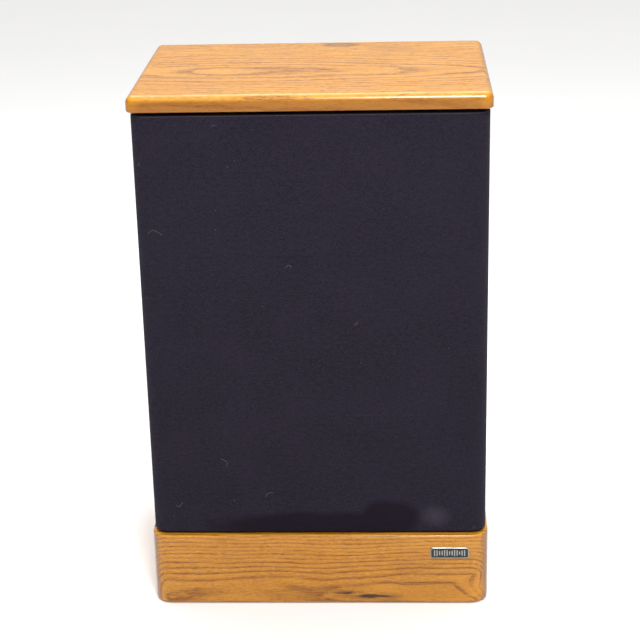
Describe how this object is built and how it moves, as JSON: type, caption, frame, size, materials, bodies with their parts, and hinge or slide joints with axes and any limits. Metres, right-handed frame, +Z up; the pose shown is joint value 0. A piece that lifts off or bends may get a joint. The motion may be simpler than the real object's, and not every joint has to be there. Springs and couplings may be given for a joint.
{
  "type": "bookshelf speaker",
  "caption": "Upright two-way sealed loudspeaker: full-height pull-off cloth grille between an oak cap and an oak base, woofer and dome tweeter behind it, push terminals at the back.",
  "frame": {"origin": "middle of the footprint, on the floor under the base boards", "axes": "+Z up, the grille faces -Y, and +X is to the right for someone facing the grille"},
  "size_m": [0.345, 0.245, 0.538],
  "materials": {
    "oak": "clear satin-gloss lacquer over golden oak",
    "vinyl": "black vinyl film with a fine leather grain",
    "board": "bare particle board",
    "baffle_paint": "matt black paint on board",
    "cloth": "dark aubergine-charcoal knitted grille cloth",
    "black_plastic": "moulded black plastic",
    "red_plastic": "moulded red plastic",
    "black_steel": "black coated steel",
    "zinc": "bright zinc plate",
    "ferrite": "sintered ferrite",
    "paper": "pulp paper dyed black, felt texture",
    "foam": "matt black foam",
    "silk": "doped silk",
    "spider_cloth": "resin-treated corrugated cloth",
    "copper": "enamelled copper winding",
    "board_green": "circuit board",
    "capacitor_yellow": "film capacitor sleeve",
    "ceramic": "ceramic resistor body",
    "lead": "black insulation",
    "wadding": "polyester fibre wadding",
    "badge_metal": "polished metal with a dark field"
  },
  "bodies": {
    "cabinet": {"top_cap": "oak", "plinth_front": "oak", "plinth_left": "oak", "plinth_right": "oak", "plinth_back": "oak", "plinth_corner_block_1": "board", "plinth_corner_block_2": "board", "plinth_corner_block_3": "board", "plinth_corner_block_4": "board", "cabinet_bottom_panel": "board", "cabinet_top_panel": "board", "badge_plate": "badge_metal", "cabinet_left_panel": "vinyl", "cabinet_right_panel": "vinyl", "back_panel": "vinyl", "front_baffle": "baffle_paint", "damping_batt": "wadding", "grille_socket_1": "black_plastic", "grille_socket_2": "black_plastic", "grille_socket_3": "black_plastic", "grille_socket_4": "black_plastic", "tweeter_faceplate": "black_plastic", "terminal_cup": "black_plastic", "woofer_basket": "black_steel", "woofer_screw_1": "black_steel", "woofer_screw_2": "black_steel", "woofer_screw_3": "black_steel", "woofer_screw_4": "black_steel", "tweeter_screw_1": "black_steel", "tweeter_screw_2": "black_steel", "tweeter_screw_3": "black_steel", "terminal_screw_1": "black_steel", "terminal_screw_2": "black_steel", "terminal_screw_3": "black_steel", "terminal_screw_4": "black_steel", "woofer_gasket": "foam", "woofer_surround": "foam", "terminal_gasket": "foam", "woofer_top_plate": "zinc", "woofer_pole_piece": "zinc", "tweeter_top_plate": "zinc", "tweeter_back_plate": "zinc", "woofer_magnet": "ferrite", "tweeter_magnet": "ferrite", "crossover_inductor": "copper", "woofer_spider": "spider_cloth", "crossover_board": "board_green", "crossover_capacitor": "capacitor_yellow", "crossover_resistor": "ceramic", "input_lead": "lead", "woofer_lead": "lead", "tweeter_lead": "lead"},
    "grille": {"grille_cloth": "cloth", "grille_frame": "black_plastic"},
    "woofer_moving": {"woofer_cone": "paper", "woofer_dust_cap": "paper", "woofer_voice_coil": "copper"},
    "tweeter_moving": {"tweeter_dome": "silk"},
    "lever_black": {"terminal_lever_black": "black_plastic"},
    "lever_red": {"terminal_lever_red": "red_plastic"}
  },
  "joints": [
    {"name": "grille_pull", "type": "slide", "parent": "cabinet", "child": "grille", "axis": [0, -1, 0], "range_m": [0, 0.08]},
    {"name": "woofer_travel", "type": "slide", "parent": "cabinet", "child": "woofer_moving", "axis": [0, -1, 0], "range_m": [-0.005, 0.005], "stiffness_N_per_m": 1200, "deforming": ["woofer_surround", "woofer_spider"]},
    {"name": "tweeter_travel", "type": "slide", "parent": "cabinet", "child": "tweeter_moving", "axis": [0, -1, 0], "range_m": [-0.0005, 0.0005], "stiffness_N_per_m": 200},
    {"name": "lever_black_press", "type": "hinge", "parent": "cabinet", "child": "lever_black", "pos_m": [-0.019, 0.1037, 0.153], "axis": [1, 0, 0], "range_deg": [0, 14], "stiffness_Nm_per_rad": 0.05},
    {"name": "lever_red_press", "type": "hinge", "parent": "cabinet", "child": "lever_red", "pos_m": [0.019, 0.1037, 0.153], "axis": [1, 0, 0], "range_deg": [0, 14], "stiffness_Nm_per_rad": 0.05}
  ]
}
